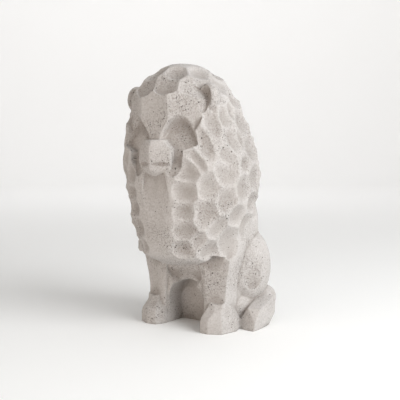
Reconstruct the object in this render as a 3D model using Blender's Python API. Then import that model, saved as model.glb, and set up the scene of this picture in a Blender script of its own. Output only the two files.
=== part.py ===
"""A seated lion, carved from one block of limestone.

The lion faces -Y and its left flank is on +X. Its masses are closed shells that overlap: mane and
head, trunk, legs, paws, haunches, feet and tail. A voxel remesh fuses them into one skin. The
carving is then cut into that skin with dish-shaped strokes, as a gouge would: face planes, hollows,
the honeycomb of the mane, and the flats on legs, haunch and tail. The figure is one solid.
"""

import math
import random

import bmesh
import bpy
import numpy as np
from mathutils import Matrix, Vector
from mathutils.bvhtree import BVHTree

# Driving size: the height of the figure, in metres
HEIGHT = 0.280

# The figure's proportions are counted in parts of its height, so one part is 1 mm at full size
PARTS_IN_HEIGHT = 280
PART = HEIGHT / PARTS_IN_HEIGHT

# Fineness of the fused skin, and of the finished solid
SKIN_VOXEL = 1.7
FINISHED_TRIANGLES = 9400
RING_POINTS = 56
RINGS_PER_STEP = 5

# Mane and head: height, half width, front and back of each level
MANE_LEVELS = [
    (280.0, 13.0, -30.0, 2.0),
    (273.0, 29.0, -44.0, 18.0),
    (260.0, 45.0, -59.0, 34.0),
    (240.0, 57.0, -69.0, 48.0),
    (212.0, 66.0, -70.0, 60.5),
    (180.0, 73.5, -69.0, 69.0),
    (152.0, 73.5, -66.0, 70.0),
    (128.0, 69.5, -63.0, 65.0),
    (106.0, 62.0, -61.0, 54.0),
    (90.0, 53.0, -58.0, 40.0),
    (79.0, 44.0, -50.0, 20.0),
    (70.0, 30.0, -34.0, 10.0),
]
MANE_SQUARENESS = 2.2

# Trunk behind the forelegs
TRUNK_LEVELS = [
    (-8.0, 44.0, -8.0, 74.0),
    (12.0, 50.0, -11.0, 79.0),
    (40.0, 53.0, -13.0, 81.0),
    (64.0, 56.0, -15.0, 81.0),
    (90.0, 57.5, -26.0, 79.0),
    (118.0, 58.5, -34.0, 77.0),
    (146.0, 58.0, -30.0, 73.0),
    (168.0, 48.0, -20.0, 66.0),
]
TRUNK_SQUARENESS = 2.6

# Arched recess between the forelegs
NICHE_HALF_WIDTH = 23.5
NICHE_HEIGHT = 50.0
NICHE_BACK = 16.0
NICHE_FRONT = -60.0
NICHE_BOTTOM = -20.0
NICHE_ARCH_STEPS = 24

# Forelegs: height, half width, front and back, about the leg's own axis
LEG_OFFSET = 37.5
LEG_LEVELS = [
    (-8.0, 13.0, -14.5, 16.0),
    (20.0, 12.8, -14.5, 15.0),
    (36.0, 13.0, -14.5, 15.0),
    (52.0, 14.5, -15.5, 16.0),
    (70.0, 18.0, -18.0, 18.0),
    (92.0, 22.0, -30.0, 20.0),
    (112.0, 20.0, -34.0, 20.0),
]
LEG_SQUARENESS = 9.0

# Left forepaw: its middle, its corners on the ground, and the size of that outline at each height
PAW_CENTRE = (39.0, -4.0)
PAW_OUTLINE = [
    (24.0, -15.0),
    (29.5, -27.0),
    (40.0, -28.5),
    (53.5, -21.0),
    (58.5, 0.0),
    (55.0, 12.0),
    (24.0, 10.0),
]
PAW_LEVELS = [
    (-8.0, 0.94),
    (3.0, 1.0),
    (11.0, 1.0),
    (16.0, 0.93),
    (32.0, 0.42),
]

# Flats cut on the forelegs, where the paws slope up, on the chest above the arch, and on the haunches
LEG_FLAT = (41.0, -12.5, 56.0)
LEG_FLAT_FACING = (0.24, -0.965, -0.08)
LEG_FLAT_SIZE = (42.0, 46.0, 1.0)
PAW_SCOOP = (37.0, -19.6, 23.0)
PAW_SCOOP_FACING = (0.05, -0.80, 0.60)
PAW_SCOOP_SIZE = (28.0, 19.0, 1.6)
CHEST_FLAT = (0.0, -11.5, 62.0)
CHEST_FLAT_FACING = (0.0, -0.80, -0.60)
CHEST_FLAT_SIZE = (42.0, 34.0, 1.0)
CHEST_FACET = (15.0, -22.0, 73.0)
CHEST_FACET_FACING = (-0.25, -0.85, -0.45)
CHEST_FACET_SIZE = (26.0, 18.0, 1.2)
CHEST_FACET_LEAN = 0.5
HAUNCH_FACET = (60.8, 21.0, 67.0)
HAUNCH_FACET_FACING = (0.86, -0.43, -0.27)
HAUNCH_FACET_SIZE = (25.0, 44.0, 2.0)
HAUNCH_FACET_LEAN = 0.35

# Haunches and the hind feet under them
HAUNCH_CENTRE = (39.5, 44.0, 62.0)
HAUNCH_RADII = (29.5, 34.5, 45.0)
FOOT_OFFSET = (42.0, 38.0)
FOOT_LEVELS = [
    (-8.0, 15.0, -24.0, 34.0),
    (10.0, 17.0, -28.0, 35.0),
    (24.0, 17.0, -27.0, 34.0),
    (36.0, 13.0, -20.0, 28.0),
]
FOOT_SQUARENESS = 3.0

# Tail, from its root behind to its tuft beside the left forepaw: place and thickness
TAIL_STEPS = [
    (8.0, 76.0, 27.0, 11.0),
    (30.0, 77.0, 25.0, 12.0),
    (48.0, 72.0, 25.0, 13.5),
    (56.5, 61.0, 24.5, 13.5),
    (57.0, 45.0, 15.0, 12.0),
]
TAIL_BALLS = 60

# Corners of the blunt block that is the tuft of the tail: on the ground, round its waist, and on top
TUFT_CORNERS = [
    (52.0, 14.0, -6.0),
    (72.5, 8.0, -6.0),
    (70.0, 44.0, -6.0),
    (58.0, 60.0, -6.0),
    (54.0, 11.0, 7.0),
    (75.0, 9.5, 8.0),
    (77.5, 38.0, 9.0),
    (73.5, 56.0, 12.0),
    (64.0, 13.0, 23.5),
    (77.0, 17.5, 22.0),
    (73.0, 54.0, 26.0),
    (69.5, 66.0, 31.0),
    (58.0, 67.0, 37.0),
    (55.0, 40.0, 27.0),
]

# Ears
EAR_PLACE = (46.5, -34.5, 244.5)
EAR_RADII = (11.5, 9.5, 14.0)
EAR_HOLLOW = (47.5, -37.5, 246.5)
EAR_HOLLOW_FACING = (-0.28, -0.955, -0.05)
EAR_HOLLOW_SIZE = (18.0, 29.0, 5.0)
EAR_LEAN = 0.25

# Corners of one half of the muzzle, a wedge with a ridge down its middle
MUZZLE_CORNERS = [
    (0.0, -66.0, 165.0),
    (0.0, -72.0, 171.0),
    (0.0, -74.5, 182.0),
    (0.0, -74.0, 196.0),
    (0.0, -71.0, 201.0),
    (12.0, -66.5, 201.5),
    (20.0, -64.5, 192.0),
    (20.5, -65.0, 180.0),
    (18.0, -62.5, 168.5),
    (14.0, -58.0, 165.0),
    (20.0, -40.0, 192.0),
    (12.0, -40.0, 202.0),
    (18.0, -40.0, 166.0),
]
MOUTH_CREASE = (10.0, -65.8, 178.0)
MOUTH_ALONG = (0.92, 0.39, -0.05)
MOUTH_WIDTH = 22.0
UPPER_LIP = (0.15, -0.40, -0.90)
LOWER_LIP = (0.33, -0.78, 0.53)
LIP_RISE = 2.2

# Strokes stop this near to muzzle and ears when they are made again after those are fused in
NEAR_FEATURES = 2.4

# How much material a dish takes above its bottom, and how far it runs on past its rim
DISH_THICK = 12.0
DISH_SPREAD = 1.25

# Planes of the head: the flat front, the beard below it, and the brow, cheek and nose round each eye
FACE_FRONT = (0.0, -64.5, 215.0)
FACE_FACING = (0.0, -1.0, 0.0)
FACE_SIZE = (70.0, 120.0, 1.5)
BEARD_FRONT = (0.0, -61.5, 128.0)
BEARD_FACING = (0.0, -1.0, -0.05)
BEARD_SIZE = (34.0, 120.0, 1.2)
TEMPLE_PLACE = (28.0, -56.8, 235.0)
TEMPLE_FACING = (0.533, -0.847, 0.0)
TEMPLE_SIZE = (44.0, 60.0, 1.6)
EYE_CREASE = (24.0, -50.5, 217.5)
EYE_WIDTH = 26.0
EYE_REACH = 30.0
EYE_ALONG = (0.89, 0.41, -0.18)
BROW_FACING = (0.20, -0.72, -0.66)
BROW_ARCH = 7.0
CHEEK_FACING = (0.36, -0.91, 0.20)
CHEEK_SCOOP = 1.0
NOSE_EDGE = (6.6, -64.5, 202.0)
NOSE_FACING = (0.90, -0.38, -0.22)

# Hollows beside the muzzle, on the plane of the cheek
JOWL_PLACE = (19.0, -58.0, 188.0)
JOWL_SIZE = (20.0, 44.0, 1.0)

# Hollows along the top of the forehead: place and turn from the front, then how far they face up
FORELOCKS = [
    (-15.0, -54.0, 262.0, -0.35),
    (10.5, -55.0, 263.5, 0.05),
    (35.0, -46.0, 260.0, 0.7),
]
FORELOCK_UPWARDS = 0.4
FORELOCK_SINK = 3.6
FORELOCK_SIZE = (25.0, 26.0, 1.4)

# Honeycomb of the mane: shallow dishes in staggered columns round it
CELL_COLUMNS = 20
CELL_FIRST_COLUMN = math.radians(27.0)
CELL_PITCH = 26.6
CELL_TOP_ROW = 241.8
CELL_ROWS = 8
CELL_WIDTH = 30.0
CELL_LENGTH = 31.0
CELL_DEPTH = 4.6
CELL_SINK = 5.3
CELL_JITTER = 2.2
CELL_RADIUS = 70.0
CELL_SEED = 7

# How far dishes lean upwards or sideways at random, and the face they keep clear of
CELL_TILT = 0.09
CELL_LIFT = (0.04, 0.20)
CELL_SIZES = (0.92, 1.10)
FACE_TURN = math.radians(36.0)
LOCKS_TURN = math.radians(86.0)
CROWN_TURN = math.radians(50.0)
CROWN_HEIGHT = 265.0

# Lowest row of dishes, and the mane's lower edge from the shoulder round to the back
LOWEST_CELL = 89.0
MANE_EDGE_FRONT = -12.0
MANE_EDGE_HEIGHT = 97.0
MANE_EDGE_SLOPE = 0.6
MANE_EDGE_CELL = 6.0
MANE_EDGE_GAP = 13.0

# Smaller dishes down both sides of the beard
BEARD_COLUMN = math.radians(27.0)
BEARD_CELL = (27.0, 24.0)
BEARD_ROWS = (166.0, 146.0, 126.5, 108.0, 91.0)

# Long locks beside the face: turn from the front, height, width, length and lean
LOCKS = [
    (38.0, 178.0, 18.0, 40.0, 38.0),
    (47.0, 195.0, 20.0, 50.0, 32.0),
    (67.0, 180.0, 25.0, 42.0, 32.0),
    (58.0, 214.0, 19.0, 42.0, 26.0),
    (76.0, 199.0, 22.0, 36.0, 22.0),
    (60.0, 236.0, 18.0, 26.0, 5.0),
    (73.0, 223.0, 19.0, 28.0, 10.0),
    (87.0, 230.0, 20.0, 27.0, 4.0),
    (89.0, 203.0, 20.0, 27.0, 4.0),
    (84.0, 175.0, 20.0, 27.0, 8.0),
]

# Dishes round the crown: height and the turn of the first, then how far apart they stand
CROWN_ROWS = [
    (256.0, 60.0),
    (270.0, 20.0),
]
CROWN_PITCH = 25.0

STONE_COLOUR = (0.66, 0.63, 0.59, 1.0)
STONE_ROUGHNESS = 0.9


def clear_scene():
    """Remove whatever the file opened with."""
    for thing in list(bpy.data.objects):
        bpy.data.objects.remove(thing, do_unlink=True)


def smooth_levels(levels, steps):
    """Add in-between levels along a smooth curve through the given ones."""
    rows = np.array(levels, dtype=float)
    padded = np.vstack([2 * rows[0] - rows[1], rows, 2 * rows[-1] - rows[-2]])
    out = []
    for i in range(len(rows) - 1):
        a, b, c, d = padded[i : i + 4]
        for k in range(steps):
            t = k / steps
            curve = 2 * b + (c - a) * t
            curve += (2 * a - 5 * b + 4 * c - d) * t**2
            curve += (3 * b - a - 3 * c + d) * t**3
            out.append(curve / 2)
    out.append(rows[-1])
    return np.array(out)


def ring_point(angle, half_width, front, back, squareness):
    """A point on a rounded-square ring; angle 0 is the front, a quarter turn is +X."""
    power = 2.0 / squareness
    across = math.copysign(abs(math.sin(angle)) ** power, math.sin(angle))
    ahead = math.copysign(abs(math.cos(angle)) ** power, math.cos(angle))
    middle = (front + back) / 2
    half_depth = (back - front) / 2
    return half_width * across, middle - half_depth * ahead


def add_loft(bm, levels, squareness, offset=(0.0, 0.0)):
    """Add a closed shell whose level rings follow the table, standing the offset from the middle."""
    rings = []
    for z, half_width, front, back in sorted(smooth_levels(levels, RINGS_PER_STEP).tolist()):
        ring = []
        for k in range(RING_POINTS):
            angle = math.tau * k / RING_POINTS
            x, y = ring_point(angle, half_width, front, back, squareness)
            ring.append(bm.verts.new(Vector((x + offset[0], y + offset[1], z)) * PART))
        rings.append(ring)
    for low, high in zip(rings, rings[1:]):
        for k in range(RING_POINTS):
            after = (k + 1) % RING_POINTS
            bm.faces.new((low[k], low[after], high[after], high[k]))
    bm.faces.new(reversed(rings[0]))
    bm.faces.new(rings[-1])


def add_ball(bm, centre, radii):
    """Add a closed ellipsoid."""
    place = Matrix.Translation(Vector(centre) * PART)
    size = Matrix.Diagonal((*(r * PART for r in radii), 1.0))
    bmesh.ops.create_icosphere(bm, subdivisions=4, radius=1.0, matrix=place @ size)


def add_tail(bm):
    """Add the tail as a run of balls close together along a smooth curve."""
    steps = math.ceil(TAIL_BALLS / (len(TAIL_STEPS) - 1))
    for x, y, z, radius in smooth_levels(TAIL_STEPS, steps):
        add_ball(bm, (x, y, z), (radius, radius, radius))


def add_block(bm, corners):
    """Add the convex block round the corners given."""
    points = [bm.verts.new(Vector(corner) * PART) for corner in corners]
    hull = bmesh.ops.convex_hull(bm, input=points)
    spare = {v for v in hull["geom_interior"] + hull["geom_unused"] if isinstance(v, bmesh.types.BMVert)}
    bmesh.ops.delete(bm, geom=list(spare), context="VERTS")


def mesh_object(name, bm):
    """Put a bmesh in a new object."""
    mesh = bpy.data.meshes.new(name)
    bmesh.ops.recalc_face_normals(bm, faces=bm.faces)
    bm.to_mesh(mesh)
    bm.free()
    thing = bpy.data.objects.new(name, mesh)
    bpy.context.scene.collection.objects.link(thing)
    return thing


def apply_modifiers(thing):
    """Replace an object's mesh by the one its modifiers give."""
    seen = thing.evaluated_get(bpy.context.evaluated_depsgraph_get())
    mesh = bpy.data.meshes.new_from_object(seen)
    thing.modifiers.clear()
    old = thing.data
    thing.data = mesh
    bpy.data.meshes.remove(old)


def fuse(thing):
    """Fuse overlapping shells into one skin."""
    remesh = thing.modifiers.new("Fuse", "REMESH")
    remesh.mode = "VOXEL"
    remesh.voxel_size = SKIN_VOXEL * PART
    apply_modifiers(thing)


def trunk():
    """Trunk with the arched recess cut into its front."""
    bm = bmesh.new()
    add_loft(bm, TRUNK_LEVELS, TRUNK_SQUARENESS)
    body = mesh_object("trunk", bm)
    arch = bmesh.new()
    spring = NICHE_HEIGHT - NICHE_HALF_WIDTH
    outline = [(-NICHE_HALF_WIDTH, NICHE_BOTTOM)]
    for k in range(NICHE_ARCH_STEPS + 1):
        angle = math.pi * (1 - k / NICHE_ARCH_STEPS)
        outline.append((NICHE_HALF_WIDTH * math.cos(angle), spring + NICHE_HALF_WIDTH * math.sin(angle)))
    outline.append((NICHE_HALF_WIDTH, NICHE_BOTTOM))
    face = arch.faces.new([arch.verts.new(Vector((x, NICHE_FRONT, z)) * PART) for x, z in outline])
    grown = bmesh.ops.extrude_face_region(arch, geom=[face])
    moved = [v for v in grown["geom"] if isinstance(v, bmesh.types.BMVert)]
    bmesh.ops.translate(arch, verts=moved, vec=(0.0, (NICHE_BACK - NICHE_FRONT) * PART, 0.0))
    cutter = mesh_object("niche", arch)
    cut = body.modifiers.new("Niche", "BOOLEAN")
    cut.operation = "DIFFERENCE"
    cut.object = cutter
    apply_modifiers(body)
    bpy.data.objects.remove(cutter, do_unlink=True)
    return body


def join(target, others):
    """Join other objects' meshes into the target's."""
    bm = bmesh.new()
    for thing in (target, *others):
        bm.from_mesh(thing.data)
    bm.to_mesh(target.data)
    bm.free()
    for thing in others:
        bpy.data.objects.remove(thing, do_unlink=True)


def paw_corners():
    """Corners of the left forepaw at all its levels."""
    corners = []
    for z, size in PAW_LEVELS:
        for x, y in PAW_OUTLINE:
            out = (x - PAW_CENTRE[0]) * size
            back = (y - PAW_CENTRE[1]) * size
            corners.append((PAW_CENTRE[0] + out, PAW_CENTRE[1] + back, z))
    return corners


def masses():
    """All large masses of the figure, overlapping."""
    bm = bmesh.new()
    add_loft(bm, MANE_LEVELS, MANE_SQUARENESS)
    for side in (-1, 1):
        add_loft(bm, LEG_LEVELS, LEG_SQUARENESS, (side * LEG_OFFSET, 0.0))
        add_block(bm, [mirrored(side, corner) for corner in paw_corners()])
        add_ball(bm, (side * HAUNCH_CENTRE[0], *HAUNCH_CENTRE[1:]), HAUNCH_RADII)
        add_loft(bm, FOOT_LEVELS, FOOT_SQUARENESS, (side * FOOT_OFFSET[0], FOOT_OFFSET[1]))
    add_tail(bm)
    add_block(bm, TUFT_CORNERS)
    rest = mesh_object("masses", bm)
    body = trunk()
    join(body, [rest])
    fuse(body)
    return body


def cut_dish(points, bottom, outward, width, length, depth, lean=0.0, spread=DISH_SPREAD):
    """Cut one gouge stroke: a dish with its lowest point at bottom, opening outwards.

    width runs level and length runs up the surface, both leaning by the angle given. depth is how
    far the dish's rim, that wide and long, stands above its lowest point. The stroke takes only
    material up to DISH_THICK above the bottom, and it ends spread times as far out as the rim.
    """
    axis = Vector(outward).normalized()
    level = Vector((0.0, 0.0, 1.0)).cross(axis)
    level.normalize()
    level.rotate(Matrix.Rotation(lean, 3, axis))
    up = axis.cross(level)
    offset = points - np.array(bottom)
    out = offset @ np.array(axis)
    share = (2 * offset @ np.array(level) / width) ** 2 + (2 * offset @ np.array(up) / length) ** 2
    over = out - depth * share
    hit = (over > 0) & (out < DISH_THICK) & (share < spread**2)
    points[hit] -= over[hit, None] * np.array(axis)


def mirrored(side, place):
    """The same place on the other side of the figure when side is -1."""
    return (side * place[0], place[1], place[2])


def cut_pit(points, middle, along, width, walls, reach):
    """Cut a pit whose walls are given as a place on each, the way it faces, and its rise.

    Each wall curves along one direction and stands forward by its rise at half the width from the
    middle. Nothing farther from the middle than reach is cut.
    """
    offset = points - np.array(middle)
    bend = (2 * offset @ np.array(Vector(along).normalized()) / width) ** 2
    facings = [np.array(Vector(facing).normalized()) for place, facing, rise in walls]
    over = []
    for (place, facing, rise), way in zip(walls, facings):
        over.append((points - np.array(place)) @ way - rise * bend)
    over = np.array(over)
    inside = (over > 0).all(axis=0) & (np.linalg.norm(offset, axis=1) < reach)
    nearest = over.argmin(axis=0)
    for index, way in enumerate(facings):
        hit = inside & (nearest == index)
        points[hit] -= over[index][hit, None] * way


def carve_face_planes(points):
    """Flat front and beard, slanting sides of the forehead, and the eye notches under the brow."""
    cut_dish(points, FACE_FRONT, FACE_FACING, *FACE_SIZE)
    cut_dish(points, BEARD_FRONT, BEARD_FACING, *BEARD_SIZE, spread=1.0)
    for side in (-1, 1):
        temple_facing = mirrored(side, TEMPLE_FACING)
        cut_dish(points, mirrored(side, TEMPLE_PLACE), temple_facing, *TEMPLE_SIZE, spread=1.0)
        crease = mirrored(side, EYE_CREASE)
        brow = (crease, mirrored(side, BROW_FACING), BROW_ARCH)
        cheek = (crease, mirrored(side, CHEEK_FACING), CHEEK_SCOOP)
        nose = (mirrored(side, NOSE_EDGE), mirrored(side, NOSE_FACING), 0.0)
        cut_dish(points, mirrored(side, JOWL_PLACE), mirrored(side, CHEEK_FACING), *JOWL_SIZE)
        cut_pit(points, crease, mirrored(side, EYE_ALONG), EYE_WIDTH, (brow, cheek, nose), EYE_REACH)


def carve_muzzle(points):
    """Mouth line, in two halves that meet at the ridge of the muzzle."""
    for side in (-1, 1):
        crease = mirrored(side, MOUTH_CREASE)
        lips = [(crease, mirrored(side, facing), LIP_RISE) for facing in (UPPER_LIP, LOWER_LIP)]
        cut_pit(points, crease, mirrored(side, MOUTH_ALONG), MOUTH_WIDTH, lips, MOUTH_WIDTH / 2)


def carve_forelock(points):
    """A row of hollows along the top of the forehead."""
    for x, y, z, turn in FORELOCKS:
        outward = Vector((math.sin(turn), -math.cos(turn), FORELOCK_UPWARDS)).normalized()
        cut_dish(points, Vector((x, y, z)) - outward * FORELOCK_SINK, outward, *FORELOCK_SIZE, spread=1.5)


def carve_ears(points):
    """Hollows in the front of the ears."""
    for side in (-1, 1):
        facing = mirrored(side, EAR_HOLLOW_FACING)
        cut_dish(points, mirrored(side, EAR_HOLLOW), facing, *EAR_HOLLOW_SIZE, side * EAR_LEAN)


def carve_flats(points):
    """Flats on chest, forelegs, paws and haunches."""
    cut_dish(points, CHEST_FLAT, CHEST_FLAT_FACING, *CHEST_FLAT_SIZE, spread=1.05)
    for side in (-1, 1):
        facing = mirrored(side, CHEST_FACET_FACING)
        cut_dish(points, mirrored(side, CHEST_FACET), facing, *CHEST_FACET_SIZE, side * CHEST_FACET_LEAN)
        cut_dish(points, mirrored(side, LEG_FLAT), mirrored(side, LEG_FLAT_FACING), *LEG_FLAT_SIZE)
        facing = mirrored(side, PAW_SCOOP_FACING)
        cut_dish(points, mirrored(side, PAW_SCOOP), facing, *PAW_SCOOP_SIZE, spread=1.0)
        facing = mirrored(side, HAUNCH_FACET_FACING)
        lean = side * HAUNCH_FACET_LEAN
        cut_dish(points, mirrored(side, HAUNCH_FACET), facing, *HAUNCH_FACET_SIZE, lean)


def mane_surface(levels, angle, z):
    """A point of the mane and the direction it faces."""
    def at(a, height):
        row = [np.interp(height, levels[:, 0], levels[:, c]) for c in (1, 2, 3)]
        return Vector((*ring_point(a, *row, MANE_SQUARENESS), height))
    here = at(angle, z)
    around = at(angle + 0.02, z) - at(angle - 0.02, z)
    upwards = at(angle, z + 1.0) - at(angle, z - 1.0)
    return here, around.cross(upwards).normalized()


def mane_edge(y):
    """Height of the mane's lower edge, given how far back a point lies."""
    if y < MANE_EDGE_FRONT:
        return 0.0
    return MANE_EDGE_HEIGHT + MANE_EDGE_SLOPE * (y - MANE_EDGE_FRONT)


def cut_cell(points, levels, rng, angle, z, width, length, lean=0.0):
    """Cut one dish of the mane, shaken a little out of its place."""
    angle += rng.uniform(-CELL_JITTER, CELL_JITTER) / CELL_RADIUS
    z += rng.uniform(-CELL_JITTER, CELL_JITTER)
    size = rng.uniform(*CELL_SIZES)
    here, outward = mane_surface(levels, angle, z)
    sideways = [rng.uniform(-CELL_TILT, CELL_TILT) for axis in "xy"]
    outward = (outward + Vector((*sideways, rng.uniform(*CELL_LIFT)))).normalized()
    bottom = here - outward * CELL_SINK * size * min(1.0, width / CELL_WIDTH + 0.1)
    cut_dish(points, bottom, outward, width * size, length * size, CELL_DEPTH, lean)


def carve_mane(points):
    """Honeycomb of dishes over the mane, and the long locks beside the face."""
    rng = random.Random(CELL_SEED)
    levels = smooth_levels(MANE_LEVELS, RINGS_PER_STEP)
    levels = levels[np.argsort(levels[:, 0])]
    for side in (-1, 1):
        for z in BEARD_ROWS:
            cut_cell(points, levels, rng, side * BEARD_COLUMN, z, *BEARD_CELL)
        for turn, z, width, length, lean in LOCKS:
            angle = side * math.radians(turn)
            cut_cell(points, levels, rng, angle, z, width, length, side * math.radians(lean))
    for z, first in CROWN_ROWS:
        half_width = np.interp(z, levels[:, 0], levels[:, 1])
        count = round(math.tau * half_width / CROWN_PITCH)
        for k in range(count):
            angle = math.radians(first) + math.tau * k / count
            if abs(math.remainder(angle, math.tau)) > CROWN_TURN or z > CROWN_HEIGHT:
                cut_cell(points, levels, rng, angle, z, CELL_WIDTH, CELL_LENGTH)
    locks_end = min(z for turn, z, width, length, lean in LOCKS)
    for column in range(CELL_COLUMNS):
        angle = CELL_FIRST_COLUMN + math.tau * column / CELL_COLUMNS
        turn = abs(math.remainder(angle, math.tau))
        for row in range(CELL_ROWS):
            z = CELL_TOP_ROW - CELL_PITCH * (row + (0.5 if column % 2 else 0.0))
            here, outward = mane_surface(levels, angle, z)
            lowest = max(LOWEST_CELL, mane_edge(here.y) + MANE_EDGE_CELL)
            if z > lowest - MANE_EDGE_GAP:
                z = max(z, lowest)
            beside_face = turn < LOCKS_TURN and z > locks_end
            if turn < FACE_TURN or beside_face or z < lowest:
                continue
            cut_cell(points, levels, rng, angle, z, CELL_WIDTH, CELL_LENGTH)


def carve(thing, strokes, spared=None):
    """Run carving functions over an object's points, except those near the spared surface."""
    mesh = thing.data
    flat = np.empty(len(mesh.vertices) * 3)
    mesh.vertices.foreach_get("co", flat)
    points = flat.reshape(-1, 3) / PART
    near = np.zeros(len(points), dtype=bool)
    if spared:
        far = np.array([spared.find_nearest(Vector(point) * PART)[3] for point in points])
        near = far < NEAR_FEATURES * PART
    kept = points[near].copy()
    for stroke in strokes:
        stroke(points)
    points[near] = kept
    mesh.vertices.foreach_set("co", (points * PART).ravel())
    mesh.update()


def features():
    """Muzzle and ears, added over the hollowed face."""
    bm = bmesh.new()
    corners = [mirrored(side, corner) for side in (-1, 1) for corner in MUZZLE_CORNERS]
    add_block(bm, corners)
    for side in (-1, 1):
        add_ball(bm, mirrored(side, EAR_PLACE), EAR_RADII)
    return mesh_object("features", bm)


def finish(thing):
    """Stand the figure on a flat base, thin its skin to the finished count and centre it."""
    bm = bmesh.new()
    bm.from_mesh(thing.data)
    geometry = bm.verts[:] + bm.edges[:] + bm.faces[:]
    ground = (0, 0, 0)
    below = (0, 0, -1)
    cut = bmesh.ops.bisect_plane(bm, geom=geometry, plane_co=ground, plane_no=below, clear_outer=True)
    rim = [e for e in cut["geom_cut"] if isinstance(e, bmesh.types.BMEdge)]
    bmesh.ops.contextual_create(bm, geom=rim)
    bmesh.ops.triangulate(bm, faces=bm.faces[:])
    bm.to_mesh(thing.data)
    bm.free()
    thin = thing.modifiers.new("Thin", "DECIMATE")
    thin.ratio = FINISHED_TRIANGLES / len(thing.data.polygons)
    thin.use_collapse_triangulate = True
    apply_modifiers(thing)
    low = [min(v.co[axis] for v in thing.data.vertices) for axis in (0, 1)]
    high = [max(v.co[axis] for v in thing.data.vertices) for axis in (0, 1)]
    thing.data.transform(Matrix.Translation((-(low[0] + high[0]) / 2, -(low[1] + high[1]) / 2, 0.0)))
    print("centred by", [round(-(a + b) / 2 / PART, 2) for a, b in zip(low, high)], "parts of the height")


def limestone():
    """Pale matt limestone."""
    material = bpy.data.materials.new("limestone")
    material.use_nodes = True
    shader = material.node_tree.nodes["Principled BSDF"]
    shader.inputs["Base Color"].default_value = STONE_COLOUR
    shader.inputs["Roughness"].default_value = STONE_ROUGHNESS
    shader.inputs["Metallic"].default_value = 0.0
    return material


def main():
    """Model the lion."""
    clear_scene()
    lion = masses()
    strokes = [carve_face_planes, carve_forelock, carve_mane, carve_flats]
    carve(lion, strokes)
    lumps = features()
    surface = BVHTree.FromObject(lumps, bpy.context.evaluated_depsgraph_get())
    join(lion, [lumps])
    fuse(lion)
    carve(lion, strokes, surface)
    carve(lion, [carve_muzzle, carve_ears])
    finish(lion)
    lion.name = "lion"
    lion.data.name = "lion"
    lion.data.materials.clear()
    lion.data.materials.append(limestone())


main()
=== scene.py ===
# %% [markdown]
# # A seated lion carved from one block of limestone
#
# The real thing is a table sculpture, sawn flat underneath and cut with gouges and chisels. Its
# look comes from the strokes: a honeycomb of shallow dishes over the mane, flat planes on the face,
# squared legs. The CAD model has the same strokes on a coarse skin. Here the carving is done again
# on a skin fine enough for crisp ridges, open pores and worn edges, and the result takes the CAD
# solid's place in the picture.

import math
import random

import bmesh
import bpy
import numpy as np
from mathutils import Matrix, Vector, noise
from mathutils.bvhtree import BVHTree


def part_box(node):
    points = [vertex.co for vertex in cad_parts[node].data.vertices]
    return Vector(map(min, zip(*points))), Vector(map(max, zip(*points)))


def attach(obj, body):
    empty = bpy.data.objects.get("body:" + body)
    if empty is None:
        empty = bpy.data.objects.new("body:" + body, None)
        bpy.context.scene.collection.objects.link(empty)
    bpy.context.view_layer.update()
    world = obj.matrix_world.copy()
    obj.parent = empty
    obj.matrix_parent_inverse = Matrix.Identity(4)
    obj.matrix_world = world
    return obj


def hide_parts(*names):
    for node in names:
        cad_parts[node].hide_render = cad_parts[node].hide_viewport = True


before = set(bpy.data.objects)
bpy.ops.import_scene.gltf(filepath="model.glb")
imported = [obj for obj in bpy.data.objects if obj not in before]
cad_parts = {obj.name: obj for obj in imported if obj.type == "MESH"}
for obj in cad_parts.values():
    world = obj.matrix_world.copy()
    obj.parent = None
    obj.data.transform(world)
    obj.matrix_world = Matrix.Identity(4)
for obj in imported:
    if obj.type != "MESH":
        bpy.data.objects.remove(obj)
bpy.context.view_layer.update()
cad_low, cad_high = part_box("lion")
print("CAD box in mm:", [round((b - a) * 1000, 1) for a, b in zip(cad_low, cad_high)])

# %% [markdown]
# ## Sizes
#
# The lion's proportions are counted in parts of its height, 280 parts from the ground to the top of
# the head, so one part is one millimetre on a lion 280 mm tall. The height is read from the frame.
# Places are given from the upright axis of the mane: x towards the lion's own left, y towards its
# back, z up. The lion faces -Y.

# %% The unit of length
PARTS_IN_HEIGHT = 280
PART = (cad_high[2] - cad_low[2]) / PARTS_IN_HEIGHT
print("one part is", round(PART * 1000, 4), "mm")


# %% [markdown]
# ## Clay shells
#
# A carver starts from a roughed-out block. The digital block is a set of closed shells that overlap:
# one for each mass of the body. Most are drums: a circle, extruded upwards ring by ring and capped,
# whose rings are then moved to the outline that a short table gives for each height. Smooth curves
# run between the rows of the table, so a few rows are enough. A metaball or a sculpted sphere could
# give such a body as well, but a table can be read and measured.

# %% Rings and drums
RING_POINTS = 96
RINGS_PER_STEP = 8


def smooth_levels(levels, steps):
    """Add in-between levels along a smooth curve through the given ones, lowest first."""
    rows = np.array(sorted(levels), dtype=float)
    padded = np.vstack([2 * rows[0] - rows[1], rows, 2 * rows[-1] - rows[-2]])
    out = []
    for i in range(len(rows) - 1):
        a, b, c, d = padded[i : i + 4]
        for k in range(steps):
            t = k / steps
            curve = 2 * b + (c - a) * t
            curve += (2 * a - 5 * b + 4 * c - d) * t**2
            curve += (3 * b - a - 3 * c + d) * t**3
            out.append(curve / 2)
    out.append(rows[-1])
    return np.array(out)


def ring_point(angle, half_width, front, back, squareness):
    """A point on a rounded-square ring; angle 0 is the front, a quarter turn is +X."""
    power = 2.0 / squareness
    across = math.copysign(abs(math.sin(angle)) ** power, math.sin(angle))
    ahead = math.copysign(abs(math.cos(angle)) ** power, math.cos(angle))
    return half_width * across, (front + back) / 2 - (back - front) / 2 * ahead


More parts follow.
